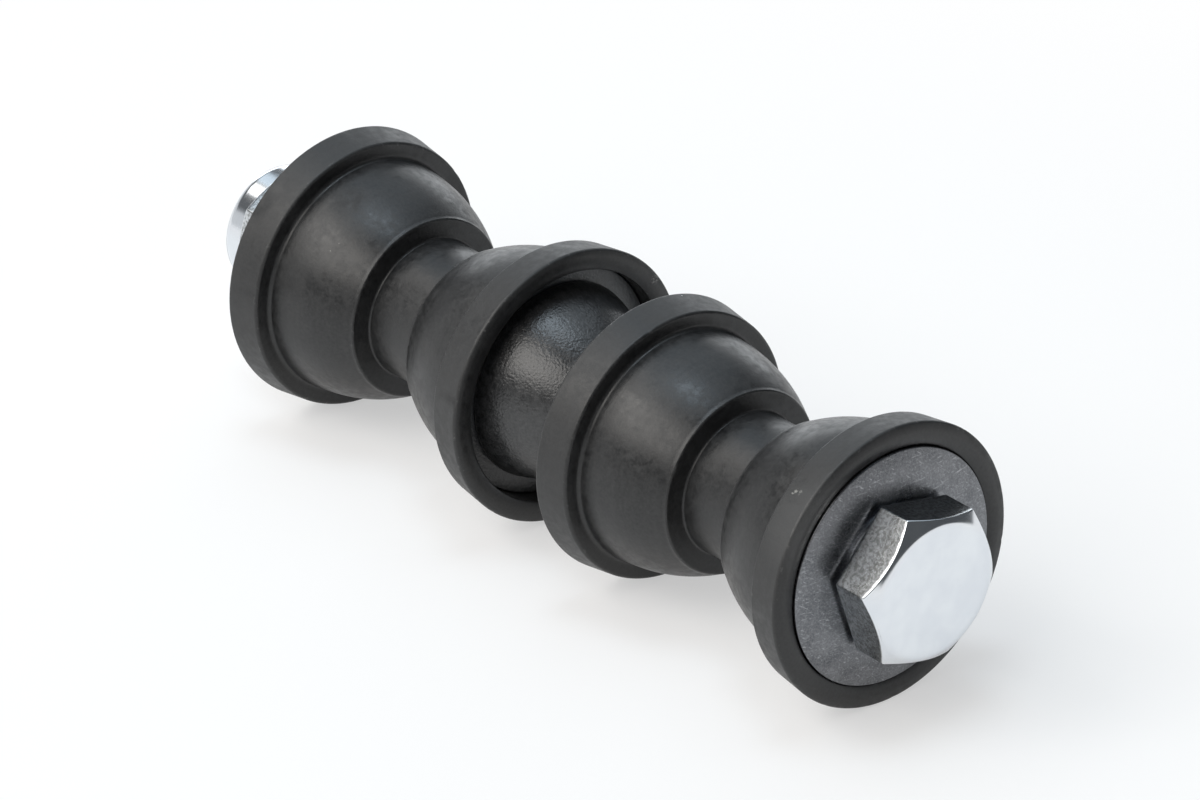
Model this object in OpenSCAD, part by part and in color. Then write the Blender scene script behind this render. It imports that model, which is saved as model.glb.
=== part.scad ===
// Stabilizer link. One long bolt carries two pairs of rubber bushings, a pair for the control
// arm's eye and a pair for the anti-roll bar's eye, with a domed spacer between the pairs.
// X runs along the bolt towards its head and Z is up. The origin is on the bolt's axis,
// midway between the top of the head and the tip of the thread. Sizes are in millimetres.

/* [Bolt] */
// Diameter of the shank and thread
bolt_d = 10; // [8:0.5:12]
// Length of thread that shows past the nut
thread_end = 1.1; // [1:0.1:10]
// Chamfer on the tip of the thread
bolt_tip = 1; // [0.5:0.1:2]
// Width across the flats of the head
head_af = 17; // [15:0.5:22]
// Height of the head with its bearing face
head_h = 6.4; // [5:0.1:8]
// Diameter of the round bearing face under the head
head_bearing_d = 15.8; // [13:0.1:16.5]
// Height of the bearing face
head_bearing_h = 0.6; // [0.2:0.1:1]
// Diameter of the flat on top of the head
head_top_d = 16; // [13:0.1:16.5]
// Slope of the chamfer on the corners of the head, in degrees
head_chamfer_angle = 38; // [25:1:45]
// Turn of the head about the bolt, in degrees
head_turn_angle = 19; // [0:1:60]

/* [Washers] */
// Gap round the washers under the head and the nut, in the recess that holds them
washer_gap = 0.3; // [0.1:0.05:0.6]
// Gap round the washers under the spacer, in the recess that holds them
inner_washer_gap = 0.1; // [0.05:0.05:0.5]
// Thickness of the washers under the head and the nut
washer_t = 2.5; // [1.5:0.1:3.5]
// Diameter of the level middle of the washers under the head and the nut
washer_crown_d = 16.4; // [16:0.1:20]
// How far the face of those washers falls away from their middle to their rim
washer_fall = 0.8; // [0.2:0.1:1]
// Thickness of the washers under the spacer
inner_washer_t = 1.5; // [1:0.1:2.5]
// Hole through the washers
washer_hole_d = 10.5; // [10.2:0.1:13]
// Chamfer left by the punch on the edges of the washers
washer_edge = 0.3; // [0.1:0.05:0.5]

/* [Bushings] */
// Height of a bushing from its flange face to its clamp face
bushing_h = 16.2; // [14:0.1:20]
// Diameter of the outer bushings' flanges at their face
flange_d = 34; // [30:0.1:38]
// How much smaller the inner bushings' flanges are
inner_flange_trim = 0.5; // [0:0.1:1]
// Width of the flange face outside the recess
flange_rim = 2.8; // [2.4:0.1:3.5]
// Width of the flange's outer band
flange_band = 4.8; // [4:0.1:7]
// Radius that the band loses from its face to its shoulder
flange_draft = 0.5; // [0.1:0.1:1]
// Rounding of the flange's outer edges
flange_round = 0.4; // [0.1:0.1:0.8]
// Step from the band down to the bell
shoulder = 2.1; // [1:0.1:2.5]
// Fillet between the shoulder and the bell
shoulder_fillet = 0.5; // [0.2:0.1:0.9]
// Diameter of the clamp face at the small end of the bell
clamp_d = 22.3; // [20:0.1:25]
// Radius of the curve that the bell swells along
bell_curve = 22; // [16:1:80]
// Rounding of the edge round the clamp face
clamp_round = 0.3; // [0.1:0.1:1]
// Depth of the recess in the outer bushings
outer_recess = 1.7; // [1:0.1:3]
// Depth of the recess in the inner bushings
inner_recess = 4.3; // [3:0.1:5]
// Width of the bevel round the mouth of the recess
rim_bevel = 0.5; // [0.4:0.1:1.2]
// Depth of the bevel round the mouth of the recess
rim_bevel_depth = 0.5; // [0.3:0.1:0.9]

/* [Spigots] */
// Diameter of the spigot that fills an eye
spigot_d = 17.2; // [15:0.1:18.5]
// Length of the spigot, which is the thickness of the eye
spigot_l = 9; // [6:0.1:14]
// Fillet at the foot of the spigot
spigot_fillet = 0.3; // [0.2:0.1:1.8]
// Gap left between the spigot at the nut's end and the bushing that it points at
end_play = 0.7; // [0.1:0.1:0.9]

/* [Spacer] */
// Distance between the two inner flange faces
flange_gap = 13.9; // [10:0.1:22]
// Width of the washer that shows round the foot of a dome
washer_ledge = 2; // [0.8:0.1:3]
// Diameter of the waist where the two domes would meet
waist_d = 15.6; // [13:0.1:18]
// Radius of the groove round the waist
waist_groove = 1.2; // [0.4:0.1:2]
// Chamfer at the foot of the domes
dome_foot = 0.4; // [0.1:0.1:0.8]

/* [Nut] */
// Width across the flats of the nut
nut_af = 17; // [16.5:0.5:22]
// Height of the nut with its collar
nut_h = 11.9; // [9:0.1:13]
// Height of the collar that holds the locking ring
collar_h = 3.6; // [3:0.1:4.5]
// Diameter of the collar
collar_d = 15.4; // [14.5:0.1:16.2]
// Wall of the collar
collar_wall = 0.9; // [0.6:0.1:1]
// Rounding of the collar's rolled edge
collar_round = 0.8; // [0.3:0.1:1]
// Overhang of the rolled edge over the locking ring
collar_lip = 0.8; // [0.4:0.1:1]
// Thickness of the locking ring
insert_t = 2; // [1.2:0.1:2]
// Slope of the chamfers on the nut's corners, in degrees
nut_chamfer_angle = 30; // [20:1:40]
// Turn of the nut about the bolt, in degrees
nut_turn_angle = 8; // [0:1:60]

/* [Fits] */
// Radial clearance of the bushings and the spacer on the shank
shank_clearance = 0.1; // [0.05:0.01:0.1]
// Radial clearance of the nut and its locking ring on the thread
thread_clearance = 0.05; // [0.02:0.01:0.1]
// Clearance round the locking ring in its collar
insert_clearance = 0.05; // [0.02:0.01:0.1]

/* [Hidden] */
$fn = 96;

// Places along the bolt, counted from the middle of the spacer
inner_face = flange_gap / 2;
inner_seat = inner_face + inner_recess;
spacer_half = inner_seat - inner_washer_t;
head_face = inner_face + bushing_h + spigot_l + bushing_h;
head_seat = head_face - outer_recess;
head_bearing = head_seat + washer_t;
nut_face = head_face + end_play;
nut_seat = nut_face - outer_recess;
nut_bearing = nut_seat + washer_t;
bolt_l = head_bearing + nut_bearing + nut_h + thread_end;
middle = head_bearing + (head_h - bolt_l) / 2;

// Radii
bolt_r = bolt_d / 2;
bore_r = bolt_r + shank_clearance;
clamp_r = clamp_d / 2;
outer_flange_r = flange_d / 2;
inner_flange_r = outer_flange_r - inner_flange_trim / 2;
recess_r = outer_flange_r - flange_rim;
washer_r = recess_r - washer_gap;
inner_washer_r = recess_r - inner_washer_gap;
dome_r = inner_washer_r - washer_ledge;
spigot_r = spigot_d / 2;
waist_r = waist_d / 2;
nut_bore_r = bolt_r + thread_clearance;
collar_r = collar_d / 2;
ring_pocket_r = collar_r - collar_wall;

// How far a cut runs past the faces that it opens
overcut = 1;

// Heights in the nut
hex_top = nut_h - collar_h;
pocket_top = nut_h - collar_wall;
pocket_floor = pocket_top - insert_t;

// Colours
zinc = [0.78, 0.80, 0.82];
steel = [0.48, 0.49, 0.50];
rubber = [0.10, 0.10, 0.11];
black_coat = [0.13, 0.13, 0.14];
nylon = [0.20, 0.36, 0.62];

// Points along an arc, from one angle to the other
function arc(centre, r, from, to, steps = 8) = [
    for (i = [0 : steps])
        let (a = from + (to - from) * i / steps)
        centre + r * [cos(a), sin(a)]
];

// Points along the arc of radius r that swells to the right of the way from a to b
function swell(a, b, r, steps = 16) =
    let (
        way = b - a,
        reach = norm(way),
        centre = (a + b) / 2 + [-way.y, way.x] / reach * sqrt(r * r - reach * reach / 4),
        from = a - centre,
        to = b - centre
    )
    arc(centre, r, atan2(from.y, from.x), atan2(to.y, to.x), steps);

// Stands a piece on a place along the bolt, facing the head
module facing_head(place) {
    translate([place - middle, 0, 0]) rotate([0, 90, 0]) children();
}

// Stands a piece on a place along the bolt, facing the nut
module facing_nut(place) {
    translate([place - middle, 0, 0]) rotate([0, -90, 0]) children();
}

// Hexagonal bar with its foot at z = 0
module hex_bar(af, h, turn) {
    rotate([0, 0, turn]) cylinder(d = af / cos(30), h = h, $fn = 6);
}

// Cone that takes the corners off a hexagon of height h, leaving a round flat on its top
module corner_cone(flat_d, h, slope) {
    flat_r = flat_d / 2;
    foot_r = flat_r + h / tan(slope);
    cylinder(r1 = foot_r, r2 = flat_r, h = h);
}

// Half section of a bushing: flange face at y = 0, clamp face at bushing_h, spigot above it
module bushing_section(flange_r, recess, has_spigot) {
    band_r = flange_r - flange_draft;
    bell_r = band_r - shoulder;
    bell_foot = [bell_r, flange_band + shoulder_fillet];
    bell_edge = [clamp_r, bushing_h - clamp_round];
    polygon(concat(
        [
            [bore_r, recess],
            [recess_r, recess],
            [recess_r, rim_bevel_depth],
            [recess_r + rim_bevel, 0]
        ],
        arc([flange_r - flange_round, flange_round], flange_round, -90, 0),
        arc([band_r - flange_round, flange_band - flange_round], flange_round, 0, 90),
        arc([bell_r, flange_band] + shoulder_fillet * [1, 1], shoulder_fillet, 270, 180),
        swell(bell_foot, bell_edge, bell_curve),
        arc([clamp_r - clamp_round, bushing_h - clamp_round], clamp_round, 0, 90),
        has_spigot
            ? concat(
                arc([spigot_r, bushing_h] + spigot_fillet * [1, 1], spigot_fillet, 270, 180),
                [[spigot_r, bushing_h + spigot_l], [bore_r, bushing_h + spigot_l]]
            )
            : [[bore_r, bushing_h]]
    ));
}

// Rubber bushing that stands on its flange face
module bushing(flange_r, recess, has_spigot) {
    color(rubber) rotate_extrude() bushing_section(flange_r, recess, has_spigot);
}

// Washer of radius r with chamfered edges, standing on z = 0, that is rim_t thick at its rim
// and middle_t thick round its hole
module washer(r, rim_t, middle_t) {
    hole_r = washer_hole_d / 2;
    rotate_extrude() polygon(concat(
        [
            [hole_r, 0],
            [r - washer_edge, 0],
            [r, washer_edge],
            [r, rim_t - washer_edge],
            [r - washer_edge, rim_t]
        ],
        middle_t > rim_t ? [[washer_crown_d / 2, middle_t]] : [],
        [[hole_r, middle_t]]
    ));
}

// Washer under the head or the nut, whose face falls away towards its rim
module outer_washer() {
    color(steel) washer(washer_r, washer_t - washer_fall, washer_t);
}

// Flat washer under the spacer
module inner_washer() {
    color(black_coat) washer(inner_washer_r, inner_washer_t, inner_washer_t);
}

// Through bolt: hexagon head on a bearing face, plain shank, chamfered tip
module bolt() {
    hex_h = head_h - head_bearing_h;
    color(zinc) facing_head(head_bearing) {
        translate([0, 0, head_bearing_h]) intersection() {
            hex_bar(head_af, hex_h, head_turn_angle);
            corner_cone(head_top_d, hex_h, head_chamfer_angle);
        }
        rotate_extrude() polygon([
            [0, -bolt_l],
            [bolt_r - bolt_tip, -bolt_l],
            [bolt_r, bolt_tip - bolt_l],
            [bolt_r, 0],
            [head_bearing_d / 2, 0],
            [head_bearing_d / 2, head_bearing_h],
            [0, head_bearing_h]
        ]);
    }
}

module head_end_washer() {
    facing_head(head_seat) outer_washer();
}

// Plain bushing under the bolt's head
module head_end_outer_bushing() {
    facing_nut(head_face) bushing(outer_flange_r, outer_recess, false);
}

// Bushing whose spigot passes through the eye at the head's end
module head_end_inner_bushing() {
    facing_head(inner_face) bushing(inner_flange_r, inner_recess, true);
}

module head_end_inner_washer() {
    facing_head(spacer_half) inner_washer();
}

// Spacer of two domes that stand on the inner washers and meet in a grooved waist
module centre_spacer() {
    narrowing = dome_r - waist_r;
    dome_curve = (narrowing * narrowing + spacer_half * spacer_half) / (2 * narrowing);
    dome_centre = dome_r - dome_curve;
    groove_centre = dome_centre + sqrt(pow(dome_curve + waist_groove, 2) - pow(spacer_half, 2));
    tangent = atan2(spacer_half, groove_centre - dome_centre);
    foot = asin(dome_foot / dome_curve);
    color(black_coat) facing_head(0) rotate_extrude() polygon(concat(
        [[bore_r, -spacer_half], [dome_r - dome_foot, -spacer_half]],
        arc([dome_centre, -spacer_half], dome_curve, foot, tangent, 16),
        arc([groove_centre, 0], waist_groove, 180 + tangent, 180 - tangent),
        arc([dome_centre, spacer_half], dome_curve, -tangent, -foot, 16),
        [[dome_r - dome_foot, spacer_half], [bore_r, spacer_half]]
    ));
}

module nut_end_inner_washer() {
    facing_nut(-spacer_half) inner_washer();
}

// Plain bushing on the spacer's side of the eye at the nut's end
module nut_end_inner_bushing() {
    facing_nut(-inner_face) bushing(inner_flange_r, inner_recess, false);
}

// Bushing whose spigot passes through the eye at the nut's end
module nut_end_outer_bushing() {
    facing_head(-nut_face) bushing(outer_flange_r, outer_recess, true);
}

module nut_end_washer() {
    facing_nut(-nut_seat) outer_washer();
}

// Self-locking nut: hexagon with a collar that is rolled over the locking ring
module lock_nut() {
    color(zinc) facing_nut(-nut_bearing) difference() {
        union() {
            intersection() {
                hex_bar(nut_af, hex_top, nut_turn_angle);
                corner_cone(nut_af, hex_top, nut_chamfer_angle);
                translate([0, 0, hex_top]) mirror([0, 0, 1]) corner_cone(nut_af, hex_top, nut_chamfer_angle);
            }
            rotate_extrude() polygon(concat(
                [[0, 0], [collar_r, 0]],
                arc([collar_r - collar_round, nut_h - collar_round], collar_round, 0, 90),
                [[0, nut_h]]
            ));
        }
        rotate_extrude() polygon([
            [0, -overcut],
            [nut_bore_r, -overcut],
            [nut_bore_r, pocket_floor],
            [ring_pocket_r, pocket_floor],
            [ring_pocket_r, pocket_top],
            [ring_pocket_r - collar_lip, pocket_top],
            [ring_pocket_r - collar_lip, nut_h + overcut],
            [0, nut_h + overcut]
        ]);
    }
}

// Locking ring inside the nut's collar
module nut_insert() {
    color(nylon) facing_nut(-nut_bearing) translate([0, 0, pocket_floor]) difference() {
        cylinder(r = ring_pocket_r - insert_clearance, h = insert_t);
        translate([0, 0, -overcut]) cylinder(r = nut_bore_r, h = insert_t + 2 * overcut);
    }
}

bolt();
head_end_washer();
head_end_outer_bushing();
head_end_inner_bushing();
head_end_inner_washer();
centre_spacer();
nut_end_inner_washer();
nut_end_inner_bushing();
nut_end_outer_bushing();
nut_end_washer();
lock_nut();
nut_insert();
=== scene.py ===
import math

import bmesh
import bpy
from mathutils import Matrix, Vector


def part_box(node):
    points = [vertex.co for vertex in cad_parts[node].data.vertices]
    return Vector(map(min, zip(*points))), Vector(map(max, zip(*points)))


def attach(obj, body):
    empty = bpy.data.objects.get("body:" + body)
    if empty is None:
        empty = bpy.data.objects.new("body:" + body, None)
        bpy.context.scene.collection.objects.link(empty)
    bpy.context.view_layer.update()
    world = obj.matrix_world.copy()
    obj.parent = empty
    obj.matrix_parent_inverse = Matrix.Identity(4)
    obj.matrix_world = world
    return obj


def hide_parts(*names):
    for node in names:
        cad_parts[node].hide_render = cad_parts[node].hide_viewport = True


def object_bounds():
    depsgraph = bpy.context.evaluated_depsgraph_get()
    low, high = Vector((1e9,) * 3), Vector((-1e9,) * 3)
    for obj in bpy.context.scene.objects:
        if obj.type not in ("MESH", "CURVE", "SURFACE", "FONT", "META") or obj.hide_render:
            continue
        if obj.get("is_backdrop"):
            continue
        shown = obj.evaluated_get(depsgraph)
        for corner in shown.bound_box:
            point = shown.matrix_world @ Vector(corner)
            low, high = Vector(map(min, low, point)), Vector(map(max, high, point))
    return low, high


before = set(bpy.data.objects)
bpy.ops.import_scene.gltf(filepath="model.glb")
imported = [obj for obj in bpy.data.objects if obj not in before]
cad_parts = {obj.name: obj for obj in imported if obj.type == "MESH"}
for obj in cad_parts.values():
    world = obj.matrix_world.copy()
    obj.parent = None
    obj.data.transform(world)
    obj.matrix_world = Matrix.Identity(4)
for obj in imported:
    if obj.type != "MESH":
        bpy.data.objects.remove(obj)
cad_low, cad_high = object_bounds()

mm = 0.001


def length_of(node):
    """How long a node is along the bolt."""
    low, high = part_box(node)
    return high.x - low.x


# Bushings, as on the part
band_width = 4.8 * mm
band_draft = 0.5 * mm
flange_round = 0.4 * mm
shoulder = 2.1 * mm
shoulder_fillet = 0.5 * mm
bell_curve = 22 * mm
clamp_radius = 11.15 * mm
clamp_round = 0.3 * mm
bushing_height = 16.2 * mm
spigot_radius = 8.6 * mm
spigot_length = 9 * mm
spigot_fillet = 0.3 * mm
recess_radius = 14.2 * mm
outer_recess = 1.7 * mm
inner_recess = 4.3 * mm
lip_round = 0.3 * mm
rim_curve = 3 * mm
shank_hole = 5.1 * mm
moulded_round = 0.25 * mm
nick_depth = 0.14 * mm
dusty_radius = 16 * mm
dusty_blend = 0.3 * mm

# Handling marks on the rubber, and a lighter patch of painted sheen on the near rim, as the place of each
# and its size, in millimetres
pale_marks = {
    "nick_in_rim": ((-3.4, 12.9, 9.6), 0.8),
    "low_nick_in_lip": ((51.8, -10.42, 9.93), 0.5),
    "middle_nick_in_lip": ((51.8, -9.86, 10.47), 0.5),
    "high_nick_in_lip": ((51.8, -9.29, 10.88), 0.5),
    "start_of_scuff": ((48.6, -11.6, 11.9), 0.35),
    "top_of_scuff": ((48.9, -11.4, 12.15), 0.35),
    "end_of_scuff": ((49.5, -11.45, 12.2), 0.4),
    "speck_on_bell": ((-33.9, -9.1, 9.6), 0.2),
    "small_speck_on_bell": ((-34.4, -10.1, 8.7), 0.14),
}
# A lighter grey patch on the near rim's upper side: painted sheen, where the rim catches more light
painted_sheen_marks = {
    "painted_sheen_on_near_rim": ((52.0, -12.4, 9.2), 7.0),
}
dull_marks = {
    "thumb_on_bell": ((-37.9, -13.2, 5.1), 3.4),
    "finger_on_bell": ((-36.8, -5.4, 12.9), 3.2),
    "finger_on_band": ((-44.9, -12.5, 11.4), 2.6),
}

# Washers
washer_hole = 5.25 * mm
washer_crown = 8.2 * mm
washer_fall = 0.8 * mm
die_roll = 0.15 * mm
washer_gap = 0.06 * mm
sheared_edge = 0.15 * mm

# Spacer
waist_radius = 7.8 * mm
waist_groove = 1.2 * mm
dome_foot = 0.4 * mm
dome_lean = math.radians(12)
# Heights over which the grey bloom fades out downwards: painted shade, darker on the lower side
painted_shade_low = -9 * mm
painted_shade_high = 4 * mm

# Bolt
shank_radius = 5 * mm
head_flats = 17 * mm
head_height = 6.4 * mm
head_top_radius = 8 * mm
head_chamfer = math.radians(38)
head_turn = math.radians(19)
bearing_radius = 7.9 * mm
bearing_height = 0.6 * mm
corner_round = 0.3 * mm
edge_round = 0.16 * mm
top_round = 0.5 * mm
foot_round = 0.1 * mm
shank_fillet = 0.4 * mm
thread_pitch = 1.5 * mm
thread_depth = 0.92 * mm
thread_length = 26 * mm
tip_chamfer = 1 * mm

# The thread's form: flats as shares of the pitch, and the run-out as shares of the length
thread_root = 0.25
thread_crest = 0.125
run_out_start = 0.88
run_out_end = 0.98

# Nut and its locking ring
nut_flats = 17 * mm
nut_height = 11.9 * mm
nut_chamfer = math.radians(30)
nut_turn = math.radians(8)
collar_height = 3.6 * mm
collar_radius = 7.7 * mm
collar_wall = 0.9 * mm
collar_round = 0.8 * mm
collar_lip = 0.8 * mm
nut_hole = 5.05 * mm
nut_face_inset = 0.35 * mm
nut_face_round = 0.2 * mm
collar_foot_fillet = 0.3 * mm
collar_lip_round = 0.3 * mm
pocket_round = 0.1 * mm
ring_thickness = 2 * mm
ring_ease = 0.15 * mm

# Fineness of the meshes
around = 288
around_thread = 96
rows_per_pitch = 16
corner_steps = 3
support = 0.12 * mm
weld = 0.001 * mm


class Signal:
    """A socket in a node tree; arithmetic on it adds the nodes that work the result out."""

    def __init__(self, tree, socket):
        self.tree = tree
        self.socket = socket

    def node(self, kind, settings=None, inputs=None, output=0):
        """Adds any other node: its settings first, then the values or links of its sockets."""
        made = self.tree.nodes.new(kind)
        for name, value in (settings or {}).items():
            setattr(made, name, value)
        for key, value in (inputs or {}).items():
            plug(self.tree, made.inputs[key], value)
        return Signal(self.tree, made.outputs[output])

    def out(self, output):
        """Another output of the node that gives this signal."""
        return Signal(self.tree, self.socket.node.outputs[output])

    def maths(self, operation, *terms):
        return self.node("ShaderNodeMath", {"operation": operation}, dict(enumerate(terms)))

    def __add__(self, other):
        return self.maths("ADD", self, other)

    __radd__ = __add__

    def __sub__(self, other):
        return self.maths("SUBTRACT", self, other)

    def __rsub__(self, other):
        return self.maths("SUBTRACT", other, self)

    def __mul__(self, other):
        return self.maths("MULTIPLY", self, other)

    __rmul__ = __mul__

    def __truediv__(self, other):
        return self.maths("DIVIDE", self, other)

    def __rtruediv__(self, other):
        return self.maths("DIVIDE", other, self)

    def __mod__(self, other):
        return self.maths("FLOORED_MODULO", self, other)

    def floor(self):
        return self.maths("FLOOR", self)

    def sin(self):
        return self.maths("SINE", self)

    def cos(self):
        return self.maths("COSINE", self)

    def root(self):
        return self.maths("SQRT", self)

    def size(self):
        return self.maths("ABSOLUTE", self)

    def least(self, other):
        return self.maths("MINIMUM", self, other)

    def most(self, other):
        return self.maths("MAXIMUM", self, other)

    def ease(self, low, high):
        """0 below low, 1 above high and a smooth rise between them."""
        return self.node("ShaderNodeMapRange", {"interpolation_type": "SMOOTHSTEP"},
                         {"Value": self, "From Min": low, "From Max": high})

    def parts(self):
        """The three parts of a vector."""
        split = self.node("ShaderNodeSeparateXYZ", None, {0: self})
        return split, split.out(1), split.out(2)

    def vector(self, x, y, z):
        return self.node("ShaderNodeCombineXYZ", None, {0: x, 1: y, 2: z})

    def noise(self, scale, detail=3.0, roughness=0.55):
        return self.node("ShaderNodeTexNoise", None,
                         {"Vector": self, "Scale": scale, "Detail": detail, "Roughness": roughness})

    def cells(self, scale):
        """The distance to the nearest of many scattered points; output 1 is a random colour for each."""
        return self.node("ShaderNodeTexVoronoi", None, {"Vector": self, "Scale": scale})

    def near(self, marks):
        """1 at the places of marks, in millimetres, and 0 further from them than their sizes."""
        found = 0.0
        for place, size in marks.values():
            apart = self.node("ShaderNodeVectorMath", {"operation": "DISTANCE"},
                              {0: self, 1: Vector(place) * mm}, "Value")
            found = apart.ease(size * mm, 0.3 * size * mm) + found
        return found

    def blend(self, low, high):
        """A colour from low, where this is 0, to high, where it is 1."""
        return self.node("ShaderNodeMix", {"data_type": "RGBA"}, {0: self, 6: low, 7: high}, 2)


def plug(tree, socket, value):
    """Links a signal to a socket, or sets the socket to a plain value."""
    if isinstance(value, Signal):
        tree.links.new(value.socket, socket)
    else:
        socket.default_value = value


# Materials

class Finish:
    """A material with one principled shader, and the place on the piece that its patterns read."""

    def __init__(self, name, metallic=0.0):
        self.material = bpy.data.materials.new(name)
        self.material.use_nodes = True
        self.tree = self.material.node_tree
        self.shader = self.tree.nodes["Principled BSDF"]
        self.shader.inputs["Metallic"].default_value = metallic
        coordinates = self.tree.nodes.new("ShaderNodeTexCoord")
        self.place = Signal(self.tree, coordinates.outputs["Object"])
        self.along, self.side, self.up = self.place.parts()
        self.radius = (self.side * self.side + self.up * self.up).root()

    def attribute(self, name):
        return self.place.node("ShaderNodeAttribute", {"attribute_name": name}, None, 2)

    def set(self, **inputs):
        """Sets or links the shader's sockets, which are named in small letters here."""
        for name, value in inputs.items():
            label = "IOR" if name == "ior" else name.replace("_", " ").title()
            plug(self.tree, self.shader.inputs[label], value)

    def bump(self, height, distance, strength=1.0):
        """Raises the surface by height, a signal from 0 to 1, times a distance in metres."""
        self.set(normal=height.node("ShaderNodeBump", None,
                                    {"Height": height, "Distance": distance, "Strength": strength}))


def rubber_finish():
    """Moulded black rubber: satin, with a grey bloom, smudges, turned rings, dust, scuffed edges and a
    patch of painted sheen on the near rim.
    """
    deep_black = (0.008, 0.0082, 0.0088, 1)
    grey_black = (0.033, 0.0333, 0.0338, 1)
    dust_and_sheen_grey = (0.055, 0.0555, 0.056, 1)
    scuffed_grey = (0.085, 0.085, 0.084, 1)
    chipped_grey = (0.24, 0.24, 0.225, 1)
    pale_dust = (0.45, 0.45, 0.43, 1)
    rubber = Finish("moulded_rubber")
    bloom = rubber.place.noise(170, 4).ease(0.35, 0.7)
    smudge = rubber.place.near(dull_marks) * rubber.place.noise(700, 3).ease(0.2, 0.6)
    weave = rubber.place.noise(1000, 4, 0.65)
    rings = rubber.place.vector(rubber.along, rubber.radius, 0.0).noise(1500, 2)
    grain = rubber.place.noise(2700, 2)
    specks = rubber.place.cells(260)
    speck_size = specks.out(1).parts()[0].ease(0.88, 1.0) * 0.03
    dust = (specks / (speck_size + 0.0001)).ease(1.0, 0.6)
    scuffs = rubber.attribute("edge") * rubber.place.noise(1300, 3).ease(0.58, 0.74)
    chips = rubber.place.near(pale_marks) * rubber.place.noise(3600, 2).ease(0.46, 0.60)
    on_flange = rubber.radius.ease(dusty_radius, dusty_radius + dusty_blend)
    # Dust on the flange's band, and a lighter patch of painted sheen on the near rim
    dust_and_sheen = (on_flange * 0.2 + rubber.place.near(painted_sheen_marks) * 0.7).least(1.0)
    texture = (weave * 0.4 + grain * 0.4 + rings * 0.2).ease(0.3, 0.7)
    black = (bloom * 0.3 + texture * 0.7).blend(deep_black, grey_black)
    dusted_and_sheened = dust_and_sheen.blend(black, dust_and_sheen_grey)
    worn = scuffs.blend(dusted_and_sheened, scuffed_grey)
    chipped = chips.blend(worn, chipped_grey)
    gloss_loss = 0.07 * bloom + 0.25 * smudge + 0.16 * weave.ease(0.3, 0.7) + 0.10 * grain + 0.2 * dust
    rubber.set(base_color=dust.blend(chipped, pale_dust),
               roughness=(0.23 + gloss_loss + 0.12 * on_flange).most(0.3))
    rubber.bump(rings * 0.3 + weave * 0.3 + grain * 0.4, 0.03 * mm, 0.9)
    return rubber.material


def washer_finish():
    """Tumbled plain steel: grey, with a fine dented grain and short scratches."""
    dark_grey = (0.11, 0.115, 0.124, 1)
    light_grey = (0.235, 0.241, 0.254, 1)
    bare_steel = (0.60, 0.61, 0.63, 1)
    steel = Finish("tumbled_steel", 1.0)
    patches = steel.place.noise(300, 4).ease(0.3, 0.7)
    grain = steel.place.noise(4200, 3, 0.65)
    glints = grain.ease(0.6, 0.75)
    one_way = steel.place.vector(steel.along * 2000, steel.side * 500, steel.up * 5600).noise(1, 2)
    other_way = steel.place.vector(steel.along * 2000, steel.side * 700 - steel.up * 600,
                                   steel.up * 4600 + steel.side * 3600).noise(1, 2)
    scratches = one_way.most(other_way).ease(0.58, 0.84)
    grey = (patches * 0.5 + grain.ease(0.35, 0.65) * 0.5).blend(dark_grey, light_grey)
    bright = (glints * 0.35 + scratches * 0.55).least(1.0).blend(grey, bare_steel)
    steel.set(base_color=bright, roughness=0.21 + 0.1 * patches + 0.14 * grain - 0.06 * scratches)
    steel.bump(grain * 0.85 + scratches * 0.15, 0.03 * mm, 0.5)
    return steel.material


def zinc_finish():
    """Bright zinc plate: smooth on the turned faces, speckled on the forged flats."""
    grey_plate = (0.73, 0.76, 0.80, 1)
    white_plate = (0.79, 0.82, 0.85, 1)
    forged_grey = (0.30, 0.31, 0.31, 1)
    zinc = Finish("zinc_plate", 1.0)
    cloud = zinc.place.noise(260, 3).ease(0.3, 0.7)
    pits = zinc.place.noise(2500, 3, 0.65)
    forged = zinc.attribute("forged")
    speckle = forged * pits.ease(0.42, 0.62)
    plate = cloud.blend(grey_plate, white_plate)
    zinc.set(base_color=(speckle * 0.6 + forged * 0.4).blend(plate, forged_grey),
             roughness=0.16 + 0.03 * cloud + 0.04 * forged + 0.03 * speckle)
    zinc.bump(pits * (0.12 + 0.88 * forged), 0.02 * mm, 0.5)
    return zinc.material


def black_coat_finish(name, bloom):
    """Black coated steel: glossy with a sandy grain, and dulled by a grey bloom, which fades out downwards
    as painted shade on the lower side.
    """
    deep_black = (0.010, 0.0104, 0.0112, 1)
    grey_black = (0.044, 0.0447, 0.0463, 1)
    bloom_grey = (0.12, 0.127, 0.134, 1)
    coat = Finish(name)
    mottle = coat.place.noise(900, 3).ease(0.3, 0.7)
    sand = coat.place.noise(2600, 1)
    peel = coat.place.noise(4000, 0)
    black = (mottle * 0.4 + sand.ease(0.25, 0.75) * 0.6).blend(deep_black, grey_black)
    # The grey bloom fades out towards the bottom: painted shade, darker on the lower side
    bloom_with_painted_shade = bloom * coat.up.ease(painted_shade_low, painted_shade_high)
    bloomed_and_shaded = (bloom_with_painted_shade * (0.7 + 0.3 * mottle)).blend(black, bloom_grey)
    coat.set(ior=1.67, base_color=bloomed_and_shaded, roughness=0.285 + 0.05 * mottle + 0.06 * sand + 0.05 * bloom_with_painted_shade)
    coat.bump(sand * 0.6 + peel * 0.4, 0.06 * mm)
    return coat.material


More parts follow.
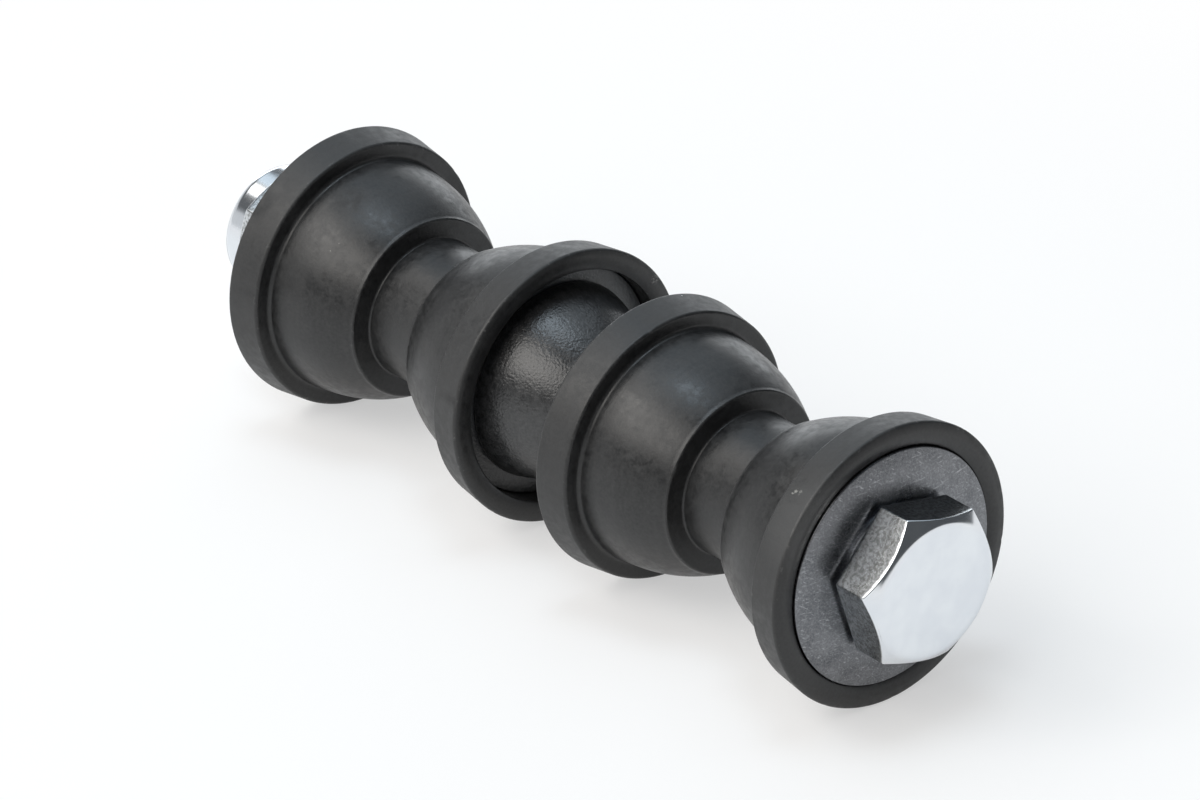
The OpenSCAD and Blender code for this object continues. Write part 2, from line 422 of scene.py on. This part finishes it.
def ring_finish():
    """Satin blue nylon of the locking ring."""
    dark_blue = (0.05, 0.11, 0.30, 1)
    blue = (0.08, 0.16, 0.40, 1)
    nylon = Finish("locking_ring_nylon")
    cloud = nylon.place.noise(700, 3).ease(0.3, 0.7)
    grain = nylon.place.noise(4000, 2)
    nylon.set(base_color=cloud.blend(dark_blue, blue), roughness=0.42 + 0.1 * grain)
    nylon.bump(grain, 0.02 * mm, 0.4)
    return nylon.material


# Outlines, as (place along the bolt, radius, how much of an edge it is)

def arc(centre, radius, start, end, steps=10, edge=0.0):
    """Points along an arc, between two angles in degrees."""
    angles = [math.radians(start + (end - start) * i / steps) for i in range(steps + 1)]
    return [(centre[0] + radius * math.cos(a), centre[1] + radius * math.sin(a), edge) for a in angles]


def swell(start, end, radius, steps=36):
    """Points along the arc that swells outwards between two points of an outline."""
    way = Vector((end[0] - start[0], end[1] - start[1]))
    middle = Vector(((start[0] + end[0]) / 2, (start[1] + end[1]) / 2))
    inwards = Vector((way.y, -way.x)).normalized()
    centre = middle + inwards * math.sqrt(radius * radius - way.length_squared / 4)
    first = math.atan2(start[1] - centre.y, start[0] - centre.x)
    last = math.atan2(end[1] - centre.y, end[0] - centre.x)
    return arc(centre, radius, math.degrees(first), math.degrees(last), steps)


def steadied(points):
    """The outline with a point near each end of its long straight runs, which keeps them flat."""
    steady = [points[0]]
    for a, b in zip(points, points[1:]):
        length = math.hypot(b[0] - a[0], b[1] - a[1])
        if length > 4 * support:
            for share in (support / length, 1 - support / length):
                steady.append((a[0] + (b[0] - a[0]) * share, a[1] + (b[1] - a[1]) * share, 0.0))
        steady.append(b)
    return steady


def placed(points, start, direction):
    """The outline stood on a place along the bolt, facing the head (1) or the nut (-1)."""
    return [(start + direction * p[0], *p[1:]) for p in points]


def eased_corner(before, corner, after, size):
    """Points that round a corner of a profile, starting and ending at a distance from it."""
    corner = Vector(corner)
    start = corner + (Vector(before) - corner).normalized() * size
    end = corner + (Vector(after) - corner).normalized() * size
    shares = [step / corner_steps for step in range(corner_steps + 1)]
    return [tuple(start.lerp(corner, s).lerp(corner.lerp(end, s), s)) for s in shares]


# Revolved pieces

def new_tree(name, inputs):
    """A geometry tree with named inputs: the tree, its inputs as signals, and its output socket."""
    tree = bpy.data.node_groups.new(name, "GeometryNodeTree")
    for label, kind in {"Geometry": "NodeSocketGeometry", **inputs}.items():
        tree.interface.new_socket(label, in_out="INPUT", socket_type=kind)
    tree.interface.new_socket("Geometry", in_out="OUTPUT", socket_type="NodeSocketGeometry")
    source = tree.nodes.new("NodeGroupInput")
    target = tree.nodes.new("NodeGroupOutput")
    return tree, {s.name: Signal(tree, s) for s in source.outputs if s.name}, target.inputs[0]


def close_tree(shape, material, target):
    """Ends a tree: merges the seam and the poles, smooths the faces and gives them their material."""
    merged = shape.node("GeometryNodeMergeByDistance", None, {"Geometry": shape, "Distance": weld})
    smooth = merged.node("GeometryNodeSetShadeSmooth", None, {"Geometry": merged})
    real = smooth.node("GeometryNodeRealizeInstances", None, {"Geometry": smooth})
    dressed = real.node("GeometryNodeSetMaterial", None, {"Geometry": real, "Material": material})
    plug(dressed.tree, target, dressed)


def revolving_tree():
    """Turns an outline round the bolt's axis, and nicks its edges where a noise runs high."""
    tree, given, target = new_tree("revolve", {
        "Segments": "NodeSocketInt", "Nick Depth": "NodeSocketFloat", "Nick Seed": "NodeSocketFloat",
        "Material": "NodeSocketMaterial"})
    outline = given["Geometry"]
    segments = given["Segments"]
    count = outline.node("GeometryNodeAttributeDomainSize", None, {"Geometry": outline})
    grid = outline.node("GeometryNodeMeshGrid", None, {"Vertices X": segments + 1, "Vertices Y": count})
    index = outline.node("GeometryNodeInputIndex")
    along_outline = index % count
    turn = (index / count).floor() / segments * (2 * math.pi)
    position = outline.node("GeometryNodeInputPosition")
    edge_of_outline = outline.node("GeometryNodeInputNamedAttribute", {"data_type": "FLOAT"},
                                   {"Name": "edge"})
    point = outline.node("GeometryNodeSampleIndex", {"data_type": "FLOAT_VECTOR"},
                         {"Geometry": outline, "Value": position, "Index": along_outline})
    edge = outline.node("GeometryNodeSampleIndex", {"data_type": "FLOAT"},
                        {"Geometry": outline, "Value": edge_of_outline, "Index": along_outline})
    along, radius, _ = point.parts()
    chips = point.vector(along, radius * turn.cos(), radius * turn.sin())
    wear = chips.node("ShaderNodeTexNoise", {"noise_dimensions": "4D"},
                      {"Vector": chips, "W": given["Nick Seed"] * 7, "Scale": 700.0, "Detail": 2.0})
    reach = radius - given["Nick Depth"] * edge * wear.ease(0.62, 0.74)
    turned = point.vector(along, reach * turn.cos(), reach * turn.sin())
    shaped = grid.node("GeometryNodeSetPosition", None, {"Geometry": grid, "Position": turned})
    marked = shaped.node("GeometryNodeStoreNamedAttribute", {"data_type": "FLOAT", "domain": "POINT"},
                         {"Geometry": shaped, "Name": "edge", "Value": edge})
    close_tree(marked, given["Material"], target)
    return tree


def threading_tree():
    """A threaded end: a round bar that a helix cuts, run out at one end and chamfered at the other."""
    tree, given, target = new_tree("thread", {
        "Segments": "NodeSocketInt", "Rows": "NodeSocketInt", "Tip": "NodeSocketFloat",
        "Length": "NodeSocketFloat", "Pitch": "NodeSocketFloat", "Depth": "NodeSocketFloat",
        "Radius": "NodeSocketFloat", "Chamfer": "NodeSocketFloat", "Material": "NodeSocketMaterial"})
    segments, rows, depth = given["Segments"], given["Rows"], given["Depth"]
    grid = segments.node("GeometryNodeMeshGrid", None, {"Vertices X": segments + 1, "Vertices Y": rows})
    index = segments.node("GeometryNodeInputIndex")
    row = index % rows
    turn = (index / rows).floor() / segments
    # The first and last rows stand on the axis and close the ends
    inside = ((row - 1) / (rows - 3)).most(0.0).least(1.0)
    along = inside * given["Length"]
    phase = (along / given["Pitch"] - turn) % 1.0
    flank = ((phase - 0.5).size() * 2 - thread_root) / (1 - thread_root - thread_crest)
    height = flank.most(0.0).least(1.0)
    run_out = inside.ease(run_out_start, run_out_end)
    groove = depth * (1 - height) * (1 - run_out)
    chamfered = given["Radius"] - given["Chamfer"] + along
    bar = (given["Radius"] - groove).least(chamfered)
    ends = row.least(1.0) * (rows - 1 - row).least(1.0)
    radius = bar * ends
    angle = turn * (2 * math.pi)
    turned = grid.vector(along + given["Tip"], radius * angle.cos(), radius * angle.sin())
    shaped = grid.node("GeometryNodeSetPosition", None, {"Geometry": grid, "Position": turned})
    close_tree(shaped, given["Material"], target)
    return tree


def grown(name, seed, tree, values):
    """The plain mesh that a tree grows from a seed mesh."""
    holder = bpy.data.objects.new(name + "_seed", seed)
    bpy.context.scene.collection.objects.link(holder)
    modifier = holder.modifiers.new("grow", "NODES")
    modifier.node_group = tree
    for item in tree.interface.items_tree:
        if item.in_out == "INPUT" and item.name in values:
            modifier[item.identifier] = values[item.name]
    graph = bpy.context.evaluated_depsgraph_get()
    mesh = bpy.data.meshes.new_from_object(holder.evaluated_get(graph))
    bpy.data.objects.remove(holder)
    mesh.name = name
    return mesh


def faced(mesh):
    """Turns a closed mesh's faces outwards."""
    shell = bmesh.new()
    shell.from_mesh(mesh)
    bmesh.ops.recalc_face_normals(shell, faces=shell.faces)
    shell.to_mesh(mesh)
    shell.free()
    return mesh


def piece(name, mesh, body, node):
    """Puts a mesh in the scene as a piece that rides on a body and stands for a node."""
    made = bpy.data.objects.new(name, faced(mesh))
    bpy.context.scene.collection.objects.link(made)
    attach(made, body)
    if node:
        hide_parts(node)
    return made


revolve = revolving_tree()
thread = threading_tree()


def revolved(name, outline, material, body, nick_depth=0.0, nick_seed=0.0):
    """A round piece: its closed outline, turned round the bolt's axis."""
    points = steadied(outline + outline[:1])
    seed = bpy.data.meshes.new(name + "_outline")
    seed.from_pydata([(p[0], p[1], 0.0) for p in points], [], [])
    seed.attributes.new("edge", "FLOAT", "POINT").data.foreach_set("value", [p[2] for p in points])
    mesh = grown(name, seed, revolve, {
        "Segments": around, "Nick Depth": nick_depth, "Nick Seed": nick_seed, "Material": material})
    return piece(name + "_shape", mesh, body, name)


def rim_outline(flange_radius):
    """A bushing's rim: a low bead from the lip of the recess to the outer edge of the flange."""
    crest = (recess_radius + flange_radius) / 2
    lip_radius = recess_radius + lip_round
    edge_radius = flange_radius - flange_round
    lip_lean = math.asin((crest - lip_radius) / (rim_curve - lip_round))
    edge_lean = math.asin((edge_radius - crest) / (rim_curve - flange_round))
    lip = (rim_curve - (rim_curve - lip_round) * math.cos(lip_lean), lip_radius)
    edge = (rim_curve - (rim_curve - flange_round) * math.cos(edge_lean), edge_radius)
    lip_end = math.degrees(lip_lean) - 180
    edge_start = 180 - math.degrees(edge_lean)
    return [
        *arc(lip, lip_round, -90, lip_end, 6, 0.5),
        *arc((rim_curve, crest), rim_curve, lip_end, edge_start - 360, 14)[1:-1],
        *arc(edge, flange_round, edge_start, 90, 8, 1.0),
    ]


def bushing_outline(flange_radius, recess, has_spigot):
    """A bushing from its recess's floor, over the flange and the bell, to its clamp face or spigot."""
    band_radius = flange_radius - band_draft
    bell_radius = band_radius - shoulder
    over_flange = [
        (recess, shank_hole, 0.0),
        *arc((recess - moulded_round, recess_radius - moulded_round), moulded_round, 0, 90, 5),
        *rim_outline(flange_radius),
        *arc((band_width - flange_round, band_radius - flange_round), flange_round, 90, 0, 8, 0.6),
    ]
    fillet_centre = (band_width + shoulder_fillet, bell_radius + shoulder_fillet)
    bell_foot = (band_width + shoulder_fillet, bell_radius)
    bell_end = (bushing_height - clamp_round, clamp_radius)
    over_bell = [
        *arc(fillet_centre, shoulder_fillet, 180, 270, 8),
        *swell(bell_foot, bell_end, bell_curve)[1:-1],
        *arc((bushing_height - clamp_round, clamp_radius - clamp_round), clamp_round, 90, 0, 8, 0.4),
    ]
    if not has_spigot:
        return over_flange + over_bell + [(bushing_height, shank_hole, 0.0)]
    foot = (bushing_height + spigot_fillet, spigot_radius + spigot_fillet)
    tip = bushing_height + spigot_length
    return over_flange + over_bell + [
        *arc(foot, spigot_fillet, 180, 270, 12),
        *arc((tip - moulded_round, spigot_radius - moulded_round), moulded_round, 90, 0, 5),
        (tip, shank_hole, 0.0),
    ]


def washer_outline(thickness, rim, fall, steps=12):
    """A punched washer, rolled over on the side that the punch met, where it curves down to its rim."""
    slope = math.atan2(2 * fall, rim - washer_crown)
    edge = thickness - fall - die_roll * math.cos(slope)
    face_rim = rim - die_roll * (1 - math.sin(slope))
    width = face_rim - washer_crown
    shares = [1 - step / steps for step in range(1, steps + 1)]
    return [
        (0.0, washer_hole, 0.0),
        *arc((sheared_edge, rim - sheared_edge), sheared_edge, 180, 90, 4, 1.0),
        *arc((edge, rim - die_roll), die_roll, 90, math.degrees(slope), 8, 1.0),
        *[(thickness - fall * share ** 2, washer_crown + width * share, 0.0) for share in shares],
        *arc((thickness - die_roll, washer_hole + die_roll), die_roll, 0, -90, 6, 1.0),
    ]


def spacer_outline(half, dome_radius):
    """Two domes that stand back to back and meet in a grooved waist."""
    narrowing = dome_radius - waist_radius
    turn = math.atan2(narrowing, half) - dome_lean
    curve = math.hypot(narrowing, half) / (2 * math.sin(turn))
    reach = half + curve * math.sin(dome_lean)
    dome_centre = dome_radius - curve * math.cos(dome_lean)
    groove_centre = dome_centre + math.sqrt((curve + waist_groove) ** 2 - reach ** 2)
    tangent = math.degrees(math.atan2(reach, groove_centre - dome_centre))
    foot = math.degrees(dome_lean + math.asin(dome_foot / curve))
    return [
        (-half, shank_hole, 0.0),
        (-half, dome_radius - dome_foot, 0.0),
        *arc((-reach, dome_centre), curve, 90 - foot, 90 - tangent, 36),
        *arc((0, groove_centre), waist_groove, 270 - tangent, 270 + tangent, 16),
        *arc((reach, dome_centre), curve, 90 + tangent, 90 + foot, 36),
        (half, dome_radius - dome_foot, 0.0),
        (half, shank_hole, 0.0),
    ]


def ring_outline(thickness, rim):
    """The locking ring, with its corners eased."""
    near, far = ring_ease, thickness - ring_ease
    inner, outer = nut_hole + ring_ease, rim - ring_ease
    return [
        *arc((near, inner), ring_ease, 270, 180, 4),
        *arc((near, outer), ring_ease, 180, 90, 4),
        *arc((far, outer), ring_ease, 90, 0, 4),
        *arc((far, inner), ring_ease, 0, -90, 4),
    ]


# Hexagonal pieces

# Each corner of a profile gives its own rows, and the flats lie between its second and third corners
rows_per_corner = corner_steps + 3
flat_rows = range(2 * rows_per_corner - 1, 2 * rows_per_corner + 3)


def hexagon(across_flats, turn, per_corner=6, per_flat=12):
    """A hexagon with eased corners, as (angle, radius) points."""
    corner_reach = (across_flats / 2 - corner_round) / math.cos(math.pi / 6)

    def on_corner(towards, lean):
        """The point of a rounded corner where its surface leans to an angle."""
        return (corner_reach * math.cos(towards) + corner_round * math.cos(lean),
                corner_reach * math.sin(towards) + corner_round * math.sin(lean))

    points = []
    for corner in range(6):
        towards = turn + corner * math.pi / 3
        for step in range(per_corner + 1):
            lean = towards + math.radians(60 * step / per_corner - 30)
            points.append(on_corner(towards, lean))
        after = turn + (corner + 1) * math.pi / 3
        start = Vector(points[-1])
        end = Vector(on_corner(after, after - math.pi / 6))
        points.extend(tuple(start.lerp(end, step / per_flat)) for step in range(1, per_flat))
    return [(math.atan2(z, y), math.hypot(y, z)) for y, z in points]


def eased(profile, sizes):
    """A profile of (place, radius) points with each inner corner rounded by its size.

    A point close to each side of a corner keeps the runs between the corners flat.
    """
    close = 0.05
    rounded = [profile[0]]
    for before, corner, after, size in zip(profile, profile[1:], profile[2:], sizes):
        turned = eased_corner(before, corner, after, size) if size else [corner]
        rounded.append(tuple(Vector(turned[0]).lerp(Vector(before), close)))
        rounded.extend(turned)
        rounded.append(tuple(Vector(turned[-1]).lerp(Vector(after), close)))
    return rounded + [profile[-1]]


def skinned(name, profiles, angles, closed, material):
    """A mesh skinned over profiles that stand round the axis; a closed profile joins its own ends."""
    shell = bmesh.new()
    forged = shell.verts.layers.float.new("forged")
    columns = []
    for profile, angle in zip(profiles, angles):
        column = []
        for step, (place, radius) in enumerate(profile):
            vert = shell.verts.new((place, radius * math.cos(angle), radius * math.sin(angle)))
            vert[forged] = 1.0 if step in flat_rows else 0.0
            column.append(vert)
        columns.append(column)
    rows = len(profiles[0])
    for left, right in zip(columns, columns[1:] + columns[:1]):
        for row in range(rows if closed else rows - 1):
            below = (row + 1) % rows
            shell.faces.new((left[row], left[below], right[below], right[row]))
    bmesh.ops.remove_doubles(shell, verts=shell.verts, dist=weld)
    for face in shell.faces:
        face.smooth = True
    mesh = bpy.data.meshes.new(name)
    shell.to_mesh(mesh)
    shell.free()
    mesh.materials.append(material)
    mesh.set_sharp_from_angle(angle=math.radians(40))
    return mesh


def head_profile(corner, bearing, thread_start):
    """The bolt's head and plain shank at one angle, where the hexagon reaches to corner."""
    top = bearing + head_height
    hexagon_foot = bearing + bearing_height
    drop = (corner - head_top_radius) * math.tan(head_chamfer)
    return eased(
        [
            (top, 0.0),
            (top, head_top_radius),
            (top - drop, corner),
            (hexagon_foot, corner),
            (hexagon_foot, bearing_radius),
            (bearing, bearing_radius),
            (bearing, shank_radius),
            (thread_start, shank_radius),
            (thread_start, 0.0),
        ],
        [top_round, edge_round, edge_round, foot_round, foot_round, shank_fillet, foot_round])


def nut_profile(corner, bearing):
    """The lock nut at one angle: bearing face, hexagon, rolled collar, ring pocket and hole."""
    face_radius = nut_flats / 2 - nut_face_inset
    drop = (corner - face_radius) * math.tan(nut_chamfer)
    hexagon_top = nut_height - collar_height
    pocket_radius = collar_radius - collar_wall
    pocket_top = nut_height - collar_wall
    heights = eased(
        [
            (0.0, nut_hole),
            (0.0, face_radius),
            (drop, corner),
            (hexagon_top - drop, corner),
            (hexagon_top, face_radius),
            (hexagon_top, collar_radius),
            (nut_height, collar_radius),
            (nut_height, pocket_radius - collar_lip),
            (pocket_top, pocket_radius - collar_lip),
            (pocket_top, pocket_radius),
            (pocket_top - ring_thickness, pocket_radius),
            (pocket_top - ring_thickness, nut_hole),
        ],
        [nut_face_round, edge_round, edge_round, nut_face_round, collar_foot_fillet, collar_round,
         collar_lip_round, pocket_round, 0, 0])
    return [(bearing - height, radius) for height, radius in heights]


# The link

rubber = rubber_finish()
washer_steel = washer_finish()
zinc = zinc_finish()
spacer_black = black_coat_finish("black_coat", 0.0)
# The inner washers' coat, whose grey bloom fades out downwards as painted shade
dull_black = black_coat_finish("dull_black_coat", 1.0)
ring_nylon = ring_finish()

bushings = {
    "head_end_outer_bushing": (-1, outer_recess, False),
    "head_end_inner_bushing": (1, inner_recess, True),
    "nut_end_inner_bushing": (-1, inner_recess, False),
    "nut_end_outer_bushing": (1, outer_recess, True),
}
for seed, (name, (direction, recess, has_spigot)) in enumerate(bushings.items()):
    low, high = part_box(name)
    face = low.x if direction > 0 else high.x
    shape = placed(bushing_outline(high.z, recess, has_spigot), face, direction)
    revolved(name, shape, rubber, name, nick_depth, seed)

washers = {
    "head_end_washer": (1, washer_fall, washer_steel, "washer_steel"),
    "head_end_inner_washer": (-1, 0.0, dull_black, "spacer_black"),
    "nut_end_inner_washer": (1, 0.0, dull_black, "spacer_black"),
    "nut_end_washer": (-1, washer_fall, washer_steel, "washer_steel"),
}
for name, (direction, fall, material, slot) in washers.items():
    low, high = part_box(name)
    foot = low.x if direction > 0 else high.x
    shape = placed(washer_outline(length_of(name), recess_radius - washer_gap, fall), foot, direction)
    revolved(name, shape, material, name)

low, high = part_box("centre_spacer")
middle = (low.x + high.x) / 2
shape = placed(spacer_outline(high.x - middle, high.z), middle, 1)
revolved("centre_spacer", shape, spacer_black, "spacer")

low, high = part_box("nut_insert")
shape = placed(ring_outline(length_of("nut_insert"), high.z), low.x, 1)
revolved("nut_insert", shape, ring_nylon, "nut")

low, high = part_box("bolt")
bearing = high.x - head_height
thread_start = low.x + thread_length
corners = hexagon(head_flats, head_turn - math.pi / 2)
profiles = [head_profile(radius, bearing, thread_start) for _, radius in corners]
head = skinned("bolt_head", profiles, [angle for angle, _ in corners], False, zinc)
piece("bolt_head_and_shank", head, "bolt", "bolt")

rows = int(thread_length / thread_pitch * rows_per_pitch) + 3
thread_seed = bpy.data.meshes.new("thread_seed")
tip = grown("bolt_thread", thread_seed, thread, {
    "Segments": around_thread, "Rows": rows, "Tip": low.x, "Length": thread_length, "Pitch": thread_pitch,
    "Depth": thread_depth, "Radius": shank_radius, "Chamfer": tip_chamfer, "Material": zinc})
piece("bolt_thread", tip, "bolt", None)

low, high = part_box("lock_nut")
corners = hexagon(nut_flats, math.pi / 2 - nut_turn)
profiles = [nut_profile(radius, high.x) for _, radius in corners]
nut = skinned("lock_nut", profiles, [angle for angle, _ in corners], True, zinc)
piece("lock_nut_shape", nut, "nut", "lock_nut")


# Studio

light_distance = 1.5
floor_reach = 20.0
shadow_start = 0.08
shadow_end = 0.19
bounce_near = 0.5
bounce_far = 1.2


def pointing(azimuth, elevation):
    """The unit vector that points to two angles in degrees."""
    turn = math.radians(azimuth)
    rise = math.radians(elevation)
    return Vector((math.cos(rise) * math.cos(turn), math.cos(rise) * math.sin(turn), math.sin(rise)))


def plain_floor():
    """A pale floor under the link that goes over to plain white away from it."""
    white = bpy.data.materials.new("pale_floor")
    white.use_nodes = True
    tree = white.node_tree
    tree.nodes.clear()
    coordinates = tree.nodes.new("ShaderNodeTexCoord")
    place = Signal(tree, coordinates.outputs["Object"])
    side, away, _ = place.parts()
    rays = tree.nodes.new("ShaderNodeLightPath")

    def ray(kind):
        """1 for light of a kind and 0 for the rest."""
        return Signal(tree, rays.outputs[f"Is {kind} Ray"])

    bounced = (ray("Glossy") + ray("Diffuse")).least(1.0)
    distance = (side * side + away * away).root()
    away_share = distance.ease(shadow_start, shadow_end)
    seen_white = ray("Camera") * (0.5 + 0.5 * away_share)
    bounced_white = bounced * (0.4 + 0.6 * away_share) * distance.ease(bounce_far, bounce_near)
    matt = place.node("ShaderNodeBsdfDiffuse", None, {"Color": (0.93, 0.93, 0.93, 1)})
    bright = place.node("ShaderNodeEmission", None, {"Color": (1, 1, 1, 1), "Strength": 1.0})
    mixed = place.node("ShaderNodeMixShader", None, {0: seen_white + bounced_white, 1: matt, 2: bright})
    output = tree.nodes.new("ShaderNodeOutputMaterial")
    plug(tree, output.inputs["Surface"], mixed)
    corners = ((-1, -1), (1, -1), (1, 1), (-1, 1))
    mesh = bpy.data.meshes.new("floor")
    places = [(x * floor_reach, y * floor_reach, cad_low.z) for x, y in corners]
    mesh.from_pydata(places, [], [(0, 1, 2, 3)])
    mesh.materials.append(white)
    floor = bpy.data.objects.new("floor", mesh)
    bpy.context.scene.collection.objects.link(floor)
    floor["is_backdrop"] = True


def softbox(name, azimuth, elevation, width, height, brightness, colour):
    """A rectangular soft light that faces the link; a brightness of 1 looks plain white."""
    light = bpy.data.lights.new(name, "AREA")
    light.shape = "RECTANGLE"
    light.size = width
    light.size_y = height
    light.energy = brightness * math.pi * width * height
    light.color = colour
    made = bpy.data.objects.new(name, light)
    towards = pointing(azimuth, elevation)
    made.location = towards * light_distance
    made.rotation_mode = "QUATERNION"
    made.rotation_quaternion = towards.to_track_quat("Z", "Y")
    made.visible_camera = False
    bpy.context.scene.collection.objects.link(made)


plain_floor()
softbox("left_softbox", 266, 42, 1.65, 1.0, 3.5, (1.0, 0.97, 0.93))
softbox("far_left_softbox", 214, 50, 1.2, 0.6, 2.3, (1.0, 0.975, 0.94))
softbox("top_softbox", 215, 87, 0.5, 0.5, 5.2, (0.76, 0.89, 1.0))
softbox("ceiling", 140, 66, 1.6, 1.6, 0.9, (0.78, 0.90, 1.0))
softbox("white_sweep", 136, 12, 1.6, 0.6, 2.3, (0.93, 0.97, 1.0))
softbox("side_wall", 205, 6, 3.2, 0.7, 0.62, (0.98, 0.99, 1.0))

room = bpy.data.worlds.new("studio_room")
room.use_nodes = True
backdrop = room.node_tree.nodes["Background"]
backdrop.inputs["Color"].default_value = (0.09, 0.095, 0.10, 1)
bpy.context.scene.world = room
bpy.context.scene.view_settings.view_transform = "Standard"

# Camera, set from the middle of the near flange's face: how far right, below and ahead of the lens it lies
face_right = 32.01 * mm
face_below = 18.27 * mm
face_ahead = 829.33 * mm
lens_length = 227.2
film_width = 36
view_turn = 50
view_height = 27.8
right = pointing(view_turn, 0)
forward = -pointing(view_turn - 90, view_height)
down = forward.cross(right)
near_face = Vector((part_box("head_end_outer_bushing")[1].x, 0, 0))
camera = bpy.data.objects.new("camera", bpy.data.cameras.new("camera"))
camera.data.sensor_width = film_width
camera.data.lens = lens_length
camera.location = near_face - face_right * right - face_below * down - face_ahead * forward
camera.rotation_mode = "QUATERNION"
camera.rotation_quaternion = forward.to_track_quat("-Z", "Y")
bpy.context.scene.collection.objects.link(camera)
bpy.context.scene.camera = camera

low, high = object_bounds()
